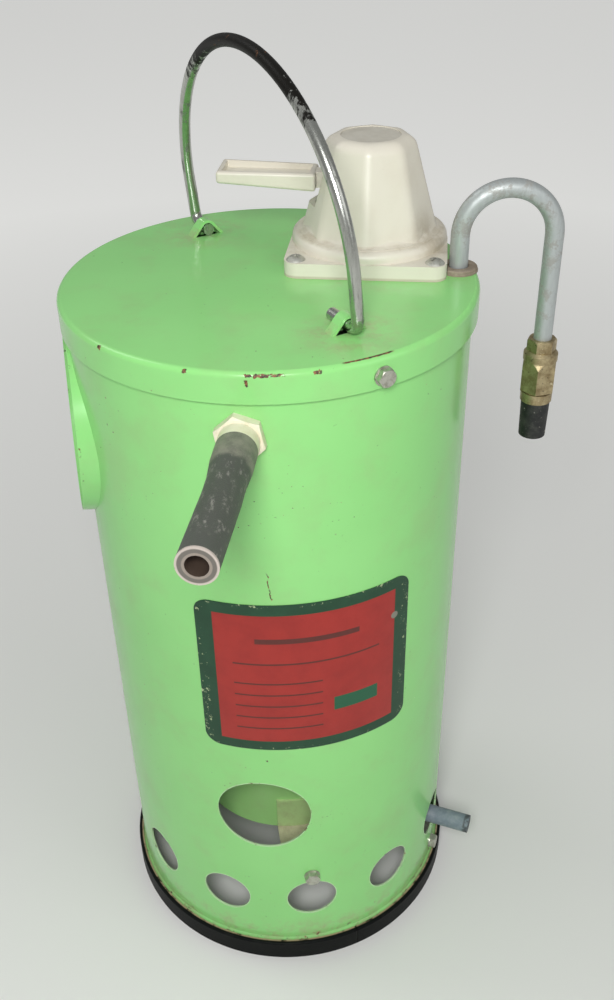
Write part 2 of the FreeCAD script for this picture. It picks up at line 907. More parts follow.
def pump_base():
    """A plate with a square front and a round back, and the low drum on it."""
    body = doc.addObject("PartDesign::Body", "pump_base")
    sketch = new_sketch(body, "plate_outline", "XY_Plane")
    half = float(s.plate_half)
    sketch.addGeometry(Part.LineSegment(V(-half), V(-half, -half)), False)
    sketch.addGeometry(Part.LineSegment(V(-half, -half), V(half, -half)), False)
    sketch.addGeometry(Part.LineSegment(V(half, -half), V(half)), False)
    round_back = Part.Circle(V(), FreeCAD.Vector(0, 0, 1), half)
    sketch.addGeometry(Part.ArcOfCircle(round_back, 0, math.pi), False)
    for first, end, second, start in ((0, 2, 1, 1), (1, 2, 2, 1), (2, 2, 3, 1), (3, 2, 0, 1)):
        sketch.addConstraint(Sketcher.Constraint("Coincident", first, end, second, start))
    sketch.addConstraint(Sketcher.Constraint("Coincident", 3, 3, -1, 1))
    sketch.addConstraint(Sketcher.Constraint("PointOnObject", 0, 1, -1))
    sketch.addConstraint(Sketcher.Constraint("PointOnObject", 2, 2, -1))
    sketch.addConstraint(Sketcher.Constraint("Vertical", 0))
    sketch.addConstraint(Sketcher.Constraint("Horizontal", 1))
    sketch.addConstraint(Sketcher.Constraint("Vertical", 2))
    index = sketch.addConstraint(Sketcher.Constraint("Radius", 3, half))
    sketch.renameConstraint(index, "half")
    sketch.setExpression("Constraints.half", words(s.plate_half))
    hold(sketch, "DistanceY", 1, 1, -s.plate_half)
    plate = body.newObject("PartDesign::Pad", "plate")
    plate.Profile = sketch
    bind(plate, Length=s.plate_wall)
    doc.recompute()
    round_edges(body, s.plate_corner, front_corner)
    outline = circle_sketch(body, "drum_outline", "XY_Plane", 0, 0, drum_radius)
    drum = body.newObject("PartDesign::Pad", "drum")
    drum.Profile = outline
    bind(drum, Length=drum_top)
    doc.recompute()
    round_edges(body, s.drum_shoulder, ring_edge(drum_radius, drum_top))
    bore = circle_sketch(body, "pump_bore", "XY_Plane", 0, 0, cylinder_radius + s.fit_gap)
    pocket(body, bore, drum_top + s.overrun, True)
    inset = s.plate_half - s.plate_screw_inset
    for side, name in ((-inset, "left"), (inset, "right")):
        hole = circle_sketch(body, "plate_hole_" + name, "XY_Plane", side, -inset,
                             s.pan_shank + s.fit_gap * 2)
        pocket(body, hole, drum_top + s.overrun, True)
    body.Placement = pump_frame
    return node(body, "pump_base")


def tower_radius(height):
    """The tower's corner radius at a height above the lid."""
    share = (float(height) - float(drum_top)) / (float(s.tower_height) - float(drum_top))
    return float(s.tower_foot_radius) * (1 - share) + float(s.tower_top_radius) * share


def tower_solid(inset, low, high):
    sections = [rounded_outline(tower_radius(z) - float(inset), s.tower_corner, z)
                for z in (low, high)]
    return Part.makeLoft(sections, True, True)


def tower_foot():
    """A round foot that flares out to the drum's shoulder."""
    rim = s.tower_foot_radius + s.foot_flare
    waist = tower_radius(drum_top + s.foot_flare_height) * math.cos(math.pi / 8)
    edge = drum_top + s.foot_flare * foot_edge_share
    points = [(0, drum_top), (rim, drum_top), (rim, edge)]
    for share in foot_shares:
        radius = rim - (rim - waist) * math.sin(share * math.pi / 2)
        height = edge + s.foot_flare_height * (1 - math.cos(share * math.pi / 2))
        points.append((radius, height))
    points.append((0, points[-1][1]))
    return turned_shape(points)


def pump_tower():
    outside = tower_solid(0, drum_top, s.tower_height)
    top = [edge for edge in outside.Edges
           if all(near(v.Z, s.tower_height) for v in edge.Vertexes)]
    outside = outside.makeFillet(float(s.tower_round), top)
    outside = outside.fuse(tower_foot())
    cavity = tower_solid(s.tower_wall, drum_top - s.overrun, s.tower_height - s.tower_roof)
    recess = rod(s.cap_radius + s.fit_gap, s.tower_height - s.cap_recess,
                 s.tower_height + s.overrun)
    rise = float(s.lever_slot_rise)
    slot = Part.makeBox(float(s.tower_foot_radius), float(s.lever_slot_half_width) * 2, rise * 2,
                        V(-s.tower_foot_radius - s.lever_arm_end, -s.lever_slot_half_width,
                          s.pivot_height - rise))
    pin = moved(rod(s.pivot_pin_radius + s.fit_gap / 2, -pin_half(), pin_half()), pin_frame())
    shape = outside.cut([cavity, recess, slot, pin]).removeSplitter()
    return node(feature("pump_tower", shape, pump_frame), "pump_tower")


def pin_half():
    """Half the pivot pin: it ends within the tower's wall."""
    return tower_radius(s.pivot_height) * math.sqrt(0.5) - float(s.tower_wall) / 4


def pin_frame():
    """Pivot pin's frame in the pump: +Z runs along the pump's own Y."""
    return FreeCAD.Placement(V(-s.pivot_reach, 0, s.pivot_height),
                             FreeCAD.Rotation(FreeCAD.Vector(1, 0, 0), -90))


def pivot_pin():
    shape = moved(rod(s.pivot_pin_radius, -pin_half(), pin_half()), pin_frame())
    return node(feature("pivot_pin", shape, pump_frame), "pivot_pin")


def pump_cap():
    low = s.tower_height - s.cap_recess
    return node(feature("pump_cap", rod(s.cap_radius, low, low + s.cap_wall), pump_frame),
                "pump_cap")


# Pump lever

def side_prism(points, half_width):
    """A side outline of X and Z pairs, made solid across the pump."""
    corners = [V(x, -half_width, z) for x, z in points]
    face = Part.Face(Part.makePolygon(corners + corners[:1]))
    return face.extrude(V(0, half_width * 2, 0))


def lever_plan(rim, root, low, high):
    tip = -s.lever_tip
    return prism([(tip + rim, -s.lever_tip_half_width + rim), (root, -s.lever_root_half_width + rim),
                  (root, s.lever_root_half_width - rim), (tip + rim, s.lever_tip_half_width - rim)],
                 low, high)


def pump_lever():
    level = s.pivot_height
    side = side_prism([(-s.lever_tip, level - s.lever_tip_bottom),
                       (-s.lever_root, level - s.lever_root_bottom),
                       (-s.lever_root, level + s.lever_root_top),
                       (-s.lever_tip, level + s.lever_tip_top)], s.lever_tip_half_width * 2)
    low, high = level - s.lever_root, level + s.lever_root
    paddle = side.common(lever_plan(0, -s.lever_root, low, high))
    paddle = paddle.makeFillet(float(s.lever_round), paddle.Edges)
    dish = lever_plan(s.lever_rim, -s.lever_root - s.lever_rim,
                      level + s.lever_root_top - s.lever_dish, high)
    arm = Part.makeBox(float(s.lever_root + s.lever_arm_end + s.lever_round * 2),
                       float(s.lever_arm_half_width) * 2, float(s.lever_arm_half_height) * 2,
                       V(-s.lever_root - s.lever_round * 2, -s.lever_arm_half_width,
                         level - s.lever_arm_half_height))
    bore = moved(rod(s.pivot_pin_radius + s.fit_gap / 2, -s.lever_tip, s.lever_tip), pin_frame())
    slot_half_z = s.rod_pin_radius + s.slot_slack / 2
    slot_half_x = s.rod_pin_radius + s.slot_slack * 2
    slot = Part.makeBox(float(slot_half_x) * 2, float(s.lever_tip), float(slot_half_z) * 2,
                        V(-slot_half_x, -s.lever_tip / 2, level - slot_half_z))
    shape = paddle.cut(dish).fuse(arm).cut([bore, slot]).removeSplitter()
    return node(feature("pump_lever", shape, pump_frame), "pump_lever")


# Piston and rod

def piston_rod():
    level = s.pivot_height
    cheek_out = s.lever_arm_half_width + s.run_gap + s.clevis_cheek
    slot_half = s.lever_arm_half_width + s.run_gap
    low, high = level - s.clevis_drop, level + s.clevis_rise
    block = Part.makeBox(float(s.clevis_half_x) * 2, float(cheek_out) * 2, float(high - low),
                         V(-s.clevis_half_x, -cheek_out, low))
    slot = Part.makeBox(float(s.clevis_half_x) * 4, float(slot_half) * 2, float(high - low),
                        V(-s.clevis_half_x * 2, -slot_half, low + s.clevis_cheek))
    pin = moved(rod(s.rod_pin_radius, -s.lever_tip, s.lever_tip), rod_pin_frame())
    bar = rod(s.rod_radius, -s.piston_drop, low)
    shape = block.cut([slot, pin]).fuse(bar).removeSplitter()
    return node(feature("piston_rod", shape, pump_frame), "piston_rod")


def rod_pin_frame():
    return FreeCAD.Placement(V(0, 0, s.pivot_height),
                             FreeCAD.Rotation(FreeCAD.Vector(1, 0, 0), -90))


def rod_pin():
    half = s.lever_arm_half_width + s.run_gap + s.clevis_cheek
    shape = moved(rod(s.rod_pin_radius, -half, half), rod_pin_frame())
    return node(feature("rod_pin", shape, pump_frame), "rod_pin")


def piston():
    low, high = -s.piston_drop - s.piston_wall, -s.piston_drop
    middle = (low + high) / 2
    groove = s.cylinder_bore - s.run_gap - s.seal_depth
    edge = s.cylinder_bore - s.run_gap * 2
    shape = turned_shape([(0, low), (edge, low), (edge, middle - s.seal_wall / 2),
                          (groove, middle - s.seal_wall / 2), (groove, middle + s.seal_wall / 2),
                          (edge, middle + s.seal_wall / 2), (edge, high), (0, high)])
    return node(feature("piston", shape, pump_frame), "piston")


def piston_seal():
    middle = -s.piston_drop - s.piston_wall / 2
    outer = s.cylinder_bore - s.run_gap
    shape = sleeve(outer, outer - s.seal_depth, middle - s.seal_wall / 2, middle + s.seal_wall / 2)
    return node(feature("piston_seal", shape, pump_frame), "piston_seal")


# Pump cylinder below the lid

def port_frame():
    """The inlet port's frame: +Z points to the front of the pump."""
    height = -s.lid_wall - s.cylinder_below + s.port_rise
    return FreeCAD.Placement(V(0, 0, height), FreeCAD.Rotation(FreeCAD.Vector(1, 0, 0), 90))


def outlet_spot():
    """The outlet's place under the cylinder, in the pump's own frame."""
    away = outward(s.riser_azimuth)
    turned = FreeCAD.Rotation(FreeCAD.Vector(0, 0, 1), -float(s.pump_turn)).multVec(away)
    return turned * float(s.outlet_offset)


def pump_cylinder():
    low = -s.lid_wall - s.cylinder_below
    walls = rod(cylinder_radius, low, s.cylinder_above)
    port = moved(rod(s.port_radius, 0, cylinder_radius + s.port_length), port_frame())
    spot = outlet_spot()
    outlet = rod(s.port_radius, low - s.outlet_length, low)
    outlet.translate(spot)
    outlet_bore = rod(s.port_bore, low - s.outlet_length - s.overrun, low + s.overrun)
    outlet_bore.translate(spot)
    port_bore = moved(rod(s.port_bore, 0, cylinder_radius + s.port_length + s.overrun), port_frame())
    inside = rod(s.cylinder_bore, low + s.cylinder_floor, s.cylinder_above + s.overrun)
    shape = walls.fuse([port, outlet]).cut([inside, port_bore, outlet_bore]).removeSplitter()
    return node(feature("pump_cylinder", shape, pump_frame), "pump_cylinder")


def rod_guide():
    body = revolved("rod_guide", [
        (s.rod_radius + s.run_gap, s.cylinder_above), (cylinder_radius, s.cylinder_above),
        (cylinder_radius, guide_top), (s.rod_radius + s.run_gap, guide_top)])
    body.Placement = pump_frame
    return node(body, "rod_guide")


def lock_ring():
    inner = cylinder_radius + s.fit_gap
    high = -s.lid_wall
    low = high - s.lock_ring_wall
    outer = inner + s.lock_ring_width
    body = revolved("lock_ring", [(inner, low), (outer, low), (outer, high), (inner, high)])
    body.Placement = pump_frame
    return node(body, "lock_ring")


def pump_screws():
    radius, rise = float(s.pan_radius), float(s.pan_rise)
    ball = (radius * radius + rise * rise) / (2 * rise)
    dome = Part.makeSphere(ball, V(0, 0, rise - ball)).common(rod(s.pan_radius, 0, s.pan_rise))
    shank = rod(s.pan_shank, -s.pan_length, 0)
    screw = dome.fuse(shank)
    for x, y in ((s.cross_half_length, s.cross_half_width), (s.cross_half_width, s.cross_half_length)):
        blade = Part.makeBox(float(x) * 2, float(y) * 2, rise, V(-x, -y, s.pan_rise - s.cross_depth))
        screw = screw.cut(blade)
    inset = s.plate_half - s.plate_screw_inset
    places = [upright(side, -inset, s.plate_wall, turn)
              for side, turn in zip((-inset, inset), screw_turns)]
    shapes = [moved(screw, pump_frame.multiply(place)) for place in places]
    return node(feature("pump_screws", Part.makeCompound(shapes)), "pump_screws")


# Spout

def spout_place(drop=0.0):
    """A frame on the spout's foot; its +X runs towards the spout's end."""
    return FreeCAD.Placement(outward(s.spout_azimuth) * float(spout_distance)
                             + V(0, 0, s.lid_top - drop),
                             FreeCAD.Rotation(FreeCAD.Vector(0, 0, 1), float(s.spout_turn)))


def spout_tube():
    rise, bend = s.spout_rise, s.spout_bend
    diagonal = bend * math.sqrt(0.5)
    edges = [Part.LineSegment(V(0, 0, -s.spout_foot_drop), V(0, 0, rise)).toShape(),
             Part.Arc(V(0, 0, rise), V(bend - diagonal, 0, rise + diagonal),
                      V(bend, 0, rise + bend)).toShape(),
             Part.Arc(V(bend, 0, rise + bend), V(bend + diagonal, 0, rise + diagonal),
                      V(bend * 2, 0, rise)).toShape(),
             Part.LineSegment(V(bend * 2, 0, rise), V(bend * 2, 0, -s.spout_end_drop)).toShape()]
    shape = tube(Part.Wire(edges), s.spout_radius, s.spout_bore)
    return node(feature("spout_tube", shape, spout_place()), "spout_tube")


def spout_end(drop=0.0):
    frame = spout_place(drop)
    return frame.multiply(FreeCAD.Placement(V(s.spout_bend * 2), FreeCAD.Rotation()))


def beside_pump(shape):
    """Trims a flat on a ring of the spout where the pump's plate passes."""
    size = float(s.plate_half + s.run_gap)
    block = Part.makeBox(size * 2, size * 2, size, V(-size, -size, -s.plate_wall))
    block = moved(block, spout_place().inverse().multiply(pump_frame))
    return shape.cut(block)


def spout_grommet():
    edge = s.grommet_wall * grommet_edge_share
    shape = turned_shape([
        (s.spout_radius + s.fit_gap, 0), (s.grommet_radius, 0),
        (s.grommet_radius, s.grommet_wall - edge), (s.grommet_radius - edge, s.grommet_wall),
        (s.spout_radius + s.fit_gap, s.grommet_wall)])
    return node(feature("spout_grommet", beside_pump(shape), spout_place()), "spout_grommet")


def spout_washer():
    low, high = s.grommet_wall, s.grommet_wall + s.washer_wall
    shape = turned_shape([
        (s.spout_radius + s.washer_play, low), (s.washer_radius, low),
        (s.washer_radius, high - s.washer_wall / 3), (s.washer_radius - s.washer_wall / 3, high),
        (s.spout_radius + s.washer_play, high)])
    return node(feature("spout_washer", beside_pump(shape), spout_place()), "spout_washer")


def spout_nut():
    shape = softened_hexagon(s.spout_nut_across, 0, s.spout_nut_height)
    shape = shape.cut(rod(s.spout_radius + s.fit_gap, -s.overrun, s.spout_nut_height + s.overrun))
    frame = spout_end(s.spout_nut_drop + s.spout_nut_height)
    return node(feature("spout_nut", shape, frame), "spout_nut")


def spout_coupling():
    """Round shoulder, hexagon, grooved collar and barb, with a socket for the tube."""
    tail = coupling_low - s.coupling_tail
    collar_top = hex_low - s.coupling_groove
    bevel = s.coupling_shoulder * shoulder_share
    radius = s.coupling_shoulder_radius
    shoulder = turned_shape([(0, hex_top), (radius, hex_top), (radius, coupling_top - bevel),
                             (radius - bevel, coupling_top), (0, coupling_top)])
    hexed = softened_hexagon(s.coupling_across, hex_low, hex_top, coupling_turn)
    groove = rod(s.coupling_groove_radius, collar_top, hex_low)
    collar = rod(s.coupling_collar_radius, coupling_low, collar_top)
    barb = rod(s.coupling_barb, tail, coupling_low)
    socket = rod(s.spout_radius + s.fit_gap, -s.spout_end_drop - s.fit_gap,
                 coupling_top + s.overrun)
    bore = rod(s.spout_bore, tail - s.overrun, coupling_top)
    shape = shoulder.fuse([hexed, groove, collar, barb]).cut([socket, bore]).removeSplitter()
    return node(feature("spout_coupling", shape, spout_end()), "spout_coupling")


def spout_hose():
    """A stub that is stretched over the barb and narrows to its open end."""
    low = coupling_low - s.spout_hose_length
    step = coupling_low - s.coupling_tail - s.fit_gap
    stretched = s.coupling_barb + s.fit_gap
    shape = turned_shape([
        (stretched, coupling_low), (s.spout_hose_radius, coupling_low),
        (s.spout_hose_end_radius, low), (s.spout_hose_bore, low), (s.spout_hose_bore, step),
        (stretched, step)])
    return node(feature("spout_hose", shape, spout_end()), "spout_hose")


def coil_union():
    middle = -s.spout_foot_drop
    shape = sleeve(s.union_radius, s.spout_radius + s.fit_gap, middle - s.union_length / 2,
                   middle + s.union_length / 2)
    return node(feature("coil_union", shape, spout_place()), "coil_union")


# Heating coil

def coil_start():
    """Plan angle where the helix begins: its tangent runs out to the riser."""
    reach = math.sqrt(s.riser_distance ** 2 - s.coil_radius ** 2)
    return math.radians(s.riser_azimuth - 90) + math.atan2(reach, s.coil_radius)


def coil_steps():
    """Whole quarter turns, so that the last tangent points at the spout's foot."""
    reach = math.sqrt(spout_distance ** 2 - s.coil_radius ** 2)
    end = math.radians(s.spout_azimuth - 90) - math.atan2(reach, s.coil_radius)
    turns = (end - coil_start()) / (2 * math.pi)
    whole = round(float(s.coil_turns) - turns)
    count = round((whole + turns) * 4)
    return count, (whole + turns) * 2 * math.pi / count


def helix_point(angle):
    """Point and heading on the coil, an angle after its start."""
    climb = s.coil_pitch / (2 * math.pi)
    plan = coil_start() + angle
    point = V(s.coil_radius * math.cos(plan), s.coil_radius * math.sin(plan),
              s.coil_low + climb * angle)
    heading = V(-s.coil_radius * math.sin(plan), s.coil_radius * math.cos(plan), climb)
    return point, unit(heading)


def biarc(start, first, end, last):
    """Two arcs that join two points along their headings."""
    gap = end - start
    both = first + last
    turn = 2 * (1 - first.dot(last))
    reach = (math.sqrt(gap.dot(both) ** 2 + turn * gap.dot(gap)) - gap.dot(both)) / turn
    middle = (start + end + (first - last) * reach) * 0.5
    one = tangent_arc(start, first, middle)
    two = tangent_arc(end, last * -1, middle)
    return [one, two]


def coil_path():
    count, step = coil_steps()
    first, heading = helix_point(0)
    run = math.sqrt(s.riser_distance ** 2 - s.coil_radius ** 2) / math.hypot(heading.x, heading.y)
    foot = first - heading * run
    top = V(foot.x, foot.y, s.riser_top)
    bend_in = route([top, foot, first], [s.coil_bend]).OrderedEdges
    edges = list(bend_in)
    for i in range(count):
        start, first_heading = helix_point(i * step)
        end, last_heading = helix_point((i + 1) * step)
        edges += biarc(start, first_heading, end, last_heading)
    last, heading = helix_point(count * step)
    run = math.sqrt(spout_distance ** 2 - s.coil_radius ** 2) / math.hypot(heading.x, heading.y)
    corner = last + heading * run
    high = V(corner.x, corner.y, s.lid_top - s.spout_foot_drop)
    edges += route([last, corner, high], [s.coil_bend]).OrderedEdges
    print("coil turns %.2f, foot %.1f %.1f, top corner %.1f %.1f %.1f"
          % (count * step / (2 * math.pi), foot.x, foot.y, corner.x, corner.y, corner.z))
    return Part.Wire(edges)


def coil_gap(path):
    """Least gap between stretches of the tube that aren't neighbours along it."""
    points = path.discretize(Distance=float(s.spout_radius))
    skip = int(2 * math.pi * float(s.coil_radius) / float(s.spout_radius) / 3)
    least = min((points[i] - points[j]).Length
                for i in range(len(points)) for j in range(i + skip, len(points)))
    return least - 2 * float(s.spout_radius)


def heating_coil():
    path = coil_path()
    print("coil least gap to itself %.2f" % coil_gap(path))
    return node(feature("heating_coil", swept(path, s.spout_radius - s.fit_gap)), "heating_coil")


def outlet_sleeve():
    foot = outward(s.riser_azimuth) * float(s.riser_distance)
    shape = sleeve(s.port_radius + s.fit_gap + s.sleeve_wall, s.port_radius + s.fit_gap,
                   s.riser_top - s.sleeve_length / 2, s.riser_top + s.sleeve_length / 2)
    return node(feature("outlet_sleeve", shape, FreeCAD.Placement(foot, FreeCAD.Rotation())),
                "outlet_sleeve")


# Inner liner, flue duct and collar

def tube_passage(name, start, heading):
    """A clearance bar along one straight stretch of the coil's tube."""
    frame = FreeCAD.Placement(start, FreeCAD.Rotation(FreeCAD.Vector(0, 0, 1), heading))
    return placed_cylinder(name, s.tube_hole, s.riser_distance * 2, frame)


def inner_liner():
    body = revolved("liner_sheet", [
        (s.liner_radius - s.liner_wall, s.liner_low), (s.liner_radius, s.liner_low),
        (s.liner_radius, s.liner_high), (s.neck_radius - s.flue_wall, s.liner_high),
        (s.neck_radius - s.flue_wall, s.liner_high - s.liner_cap_wall),
        (s.liner_radius - s.liner_wall, s.liner_high - s.liner_cap_wall)])
    count, step = coil_steps()
    first, heading = helix_point(0)
    low = tube_passage("coil_passage_low", first, heading * -1)
    last, heading = helix_point(count * step)
    high = tube_passage("coil_passage_high", last, heading)
    return node(cut("inner_liner", body, [low, high]), "inner_liner")


def along_minus_x(x):
    """A frame whose +Z runs along -X from a distance along it, at the flue's height."""
    return FreeCAD.Placement(V(-x, 0, s.flue_height), FreeCAD.Rotation(FreeCAD.Vector(0, 1, 0), -90))


def flue_duct():
    radius = s.flue_radius - s.flue_wall - s.run_gap
    inside = radius - s.flue_wall
    length = duct_mouth + s.duct_back
    outer = placed_cylinder("duct_outer", radius, length, along_minus_x(-s.duct_back))
    inner = placed_cylinder("duct_inner", inside, length, along_minus_x(s.flue_wall - s.duct_back))
    neck_height = s.flue_height - s.liner_high
    neck = cylinder("neck_outer", s.neck_radius, neck_height, s.liner_high)
    # The duct is centred over the liner: the neck's bore stops at the duct's middle
    throat = cylinder("neck_inner", s.neck_radius - s.flue_wall, neck_height + s.overrun,
                      s.liner_high - s.overrun)
    end = box("neck_end", s.flue_radius, s.flue_radius * 2, s.flue_radius * 2,
              FreeCAD.Placement(V(s.duct_back, -s.flue_radius, s.liner_high - s.overrun),
                                FreeCAD.Rotation()))
    wall = box("neck_wall", s.flue_wall, s.neck_radius * 2, neck_height,
               FreeCAD.Placement(V(s.duct_back - s.flue_wall, -s.neck_radius, s.liner_high),
                                 FreeCAD.Rotation()))
    wall_trim = common("neck_wall_trim", [wall, cylinder("neck_full", s.neck_radius, neck_height,
                                                         s.liner_high)])
    hollow = cut("duct_hollow", fuse("duct_solid", [outer, neck]), [inner, throat])
    closed = fuse("duct_closed", [hollow, wall_trim])
    return node(cut("flue_duct", closed, [end]), "flue_duct")


def flue_collar():
    length = flue_reach + s.flue_radius
    outer = placed_cylinder("collar_outer", s.flue_radius, length, along_minus_x(flue_depth))
    inner = placed_cylinder("collar_inner", s.flue_radius - s.flue_wall, length + s.overrun,
                            along_minus_x(flue_depth - s.overrun / 2))
    size = s.flue_radius * 6
    slant = FreeCAD.Rotation(FreeCAD.Vector(0, 0, 1), float(s.flue_slant))
    turn = slant * FreeCAD.Rotation(FreeCAD.Vector(0, 1, 0), float(s.flue_tilt))
    corner = turn.multVec(V(-flue_reach - size, -size / 2, -size / 2)) + V(0, 0, s.flue_height)
    trim = box("collar_trim", size, size, size, FreeCAD.Placement(corner, turn))
    return node(cut("flue_collar", cut("collar_tube", outer, [inner]), [trim]), "flue_collar")


# Liner brackets

def bracket(index, azimuth):
    """A tab up the liner, a strap out to the shell and a flange up the shell."""
    low = s.liner_low
    tab_inner = s.liner_radius + s.fit_gap
    outer = shell_inner - s.fit_gap
    name = "bracket%d" % index
    tab = sector(name + "_tab", tab_inner, tab_inner + s.bracket_wall, low, low + s.bracket_tab,
                 s.bracket_half_width, azimuth)
    strap = sector(name + "_strap", tab_inner, outer, low, low + s.bracket_wall,
                   s.bracket_half_width, azimuth)
    flange = sector(name + "_flange", outer - s.bracket_wall, outer, low, low + s.bracket_flange,
                    s.bracket_half_width, azimuth)
    hole = placed_cylinder(name + "_hole", screw_hole, s.overrun * 3,
                           facing(azimuth, outer - s.overrun * 2, low + s.bracket_screw_rise))
    return cut(name, fuse(name + "_strip", [tab, strap, flange]), [hole])


def liner_brackets():
    pieces = [bracket(i, azimuth) for i, azimuth in
              enumerate(spread(s.bracket_count, s.bracket_azimuth))]
    group = doc.addObject("Part::Compound", "liner_brackets")
    group.Links = pieces
    return node(group, "liner_brackets")


def hex_screws():
    """Every hex screw of the sheet metal: lid, liner brackets and burner bar."""
    screw = hex_screw()
    places = [facing(azimuth, lid_radius, s.lid_top - s.lid_screw_drop)
              for azimuth in spread(s.lid_screw_count, s.lid_screw_azimuth)]
    places += [facing(azimuth, s.shell_radius, s.liner_low + s.bracket_screw_rise)
               for azimuth in spread(s.bracket_count, s.bracket_azimuth)]
    places += [facing(azimuth, s.shell_radius, s.bar_screw_height)
               for azimuth in spread(2, s.bar_azimuth)]
    return node(feature("hex_screws", Part.makeCompound([moved(screw, place) for place in places])),
                "hex_screws")


# Burner

def burner_bar():
    outer = shell_inner - s.fit_gap
    bridge_low = s.bar_high - s.bar_wall
    pieces, holes = [], []
    for index, azimuth in enumerate(spread(2, s.bar_azimuth)):
        name = "bar%d" % index
        pieces.append(sector(name + "_tab", outer - s.bar_wall, outer, s.bar_low, s.bar_high,
                             s.bar_half_width, azimuth))
        frame = facing(azimuth, 0, bridge_low)
        frame.Base = frame.Base - frame.Rotation.multVec(V(s.bar_half_width))
        strip = box(name + "_strip", s.bar_half_width * 2, s.bar_wall, outer, frame)
        pieces.append(common(name + "_bridge", [strip, cylinder(name + "_disc", outer, s.bar_wall,
                                                                bridge_low)]))
        holes.append(placed_cylinder(name + "_hole", screw_hole, s.overrun * 3,
                                     facing(azimuth, outer - s.overrun * 2, s.bar_screw_height)))
    return node(cut("burner_bar", fuse("bar_strip", pieces), holes), "burner_bar")


def burner_head():
    body = revolved("burner_casting", [
        (0, s.bar_high), (s.burner_stem, s.bar_high), (s.burner_stem, s.burner_low),
        (s.burner_radius, s.burner_low), (s.burner_radius, s.burner_high),
        (s.burner_dish_radius, s.burner_high),
        (s.burner_dish_radius - s.burner_dish_depth, s.burner_high - s.burner_dish_depth),
        (0, s.burner_high - s.burner_dish_depth)])
    sketch = circle_sketch(body, "flame_port", "XY_Plane", s.port_ring_radius, 0,
                           s.port_hole_radius)
    sketch.AttachmentOffset = FreeCAD.Placement(V(0, 0, s.burner_high), FreeCAD.Rotation())
    sketch.setExpression("AttachmentOffset.Base.z", words(s.burner_high))
    port = pocket(body, sketch, s.port_hole_depth)
    turned_copies(body, port, s.port_hole_count)
    bore = placed_cylinder("mixer_bore", s.mixer_radius + s.fit_gap, s.burner_radius,
                           facing(s.mixer_azimuth, s.mixer_inner - s.fit_gap, s.mixer_height))
    return node(cut("burner_head", body, [bore]), "burner_head")


def mixer_tube():
    outside = rod(s.mixer_radius, s.mixer_inner, s.mixer_outer)
    inside = rod(s.mixer_radius - s.mixer_wall, s.mixer_inner - s.overrun,
                 s.mixer_outer + s.overrun)
    window = Part.makeBox(float(s.mixer_radius) * 4, float(s.window_half) * 2,
                          float(s.window_far - s.window_near),
                          V(-s.mixer_radius * 2, -s.window_half, s.window_near))
    shape = outside.cut([inside, window])
    return node(feature("mixer_tube", shape, facing(s.mixer_azimuth, 0, s.mixer_height)),
                "mixer_tube")


def gas_jet():
    holder = s.mixer_radius - s.mixer_wall - s.fit_gap
    tip = s.nozzle_radius / 2
    shape = turned_shape([
        (s.jet_bore, s.nozzle_near), (tip + s.jet_bore / 2, s.nozzle_near),
        (s.nozzle_radius, s.nozzle_near + s.nozzle_radius), (s.nozzle_radius, s.jet_near),
        (holder, s.jet_near), (holder, s.jet_far), (s.gas_barb, s.jet_far),
        (s.gas_barb, s.jet_far + s.gas_barb_length), (s.jet_bore, s.jet_far + s.gas_barb_length)])
    return node(feature("gas_jet", shape, facing(s.mixer_azimuth, 0, s.mixer_height)), "gas_jet")


def gas_hose():
    """A stub that is stretched over the jet's barb."""
    stretched = s.gas_barb + s.fit_gap
    step = s.jet_far + s.gas_barb_length + s.fit_gap
    shape = turned_shape([
        (stretched, s.jet_far), (s.gas_hose_radius, s.jet_far), (s.gas_hose_radius, gas_hose_far),
        (s.gas_hose_bore, gas_hose_far), (s.gas_hose_bore, step), (stretched, step)])
    return node(feature("gas_hose", shape, facing(s.mixer_azimuth, 0, s.mixer_height)), "gas_hose")


# Water inlet

def inlet_fitting():
    """Hex flange against the shell, a collar and a barb each way, in a frame that faces out."""
    reach = s.shell_radius
    face = reach + s.inlet_hex_wall
    inner_seat = shell_inner - s.inlet_nut_wall
    flange = softened_hexagon(s.inlet_across, reach, face, s.inlet_hex_turn)
    collar = rod(s.inlet_collar_radius, face, hose_seat)
    thread = rod(s.inlet_thread, inner_seat, reach)
    barb = rod(s.hose_bore - s.fit_gap, face, hose_seat + s.inlet_barb_length)
    inner_barb = rod(s.port_radius, inner_seat - s.inlet_barb_length, inner_seat)
    bore = rod(s.inlet_bore, inner_seat - s.inlet_barb_length - s.overrun,
               hose_seat + s.inlet_barb_length + s.overrun)
    shape = flange.fuse([collar, thread, barb, inner_barb]).cut(bore).removeSplitter()
    frame = facing(s.inlet_azimuth, 0, s.inlet_height)
    return node(feature("inlet_fitting", shape, frame), "inlet_fitting")


def inlet_nut():
    """A round nut inside the shell, its seat kept clear of the curved wall."""
    sag = shell_inner - math.sqrt(shell_inner ** 2 - s.inlet_nut_radius ** 2)
    high = shell_inner - sag - s.fit_gap
    low = shell_inner - s.inlet_nut_wall
    shape = sleeve(s.inlet_nut_radius, s.inlet_thread + s.fit_gap, low, high)
    frame = facing(s.inlet_azimuth, 0, s.inlet_height)
    return node(feature("inlet_nut", shape, frame), "inlet_nut")


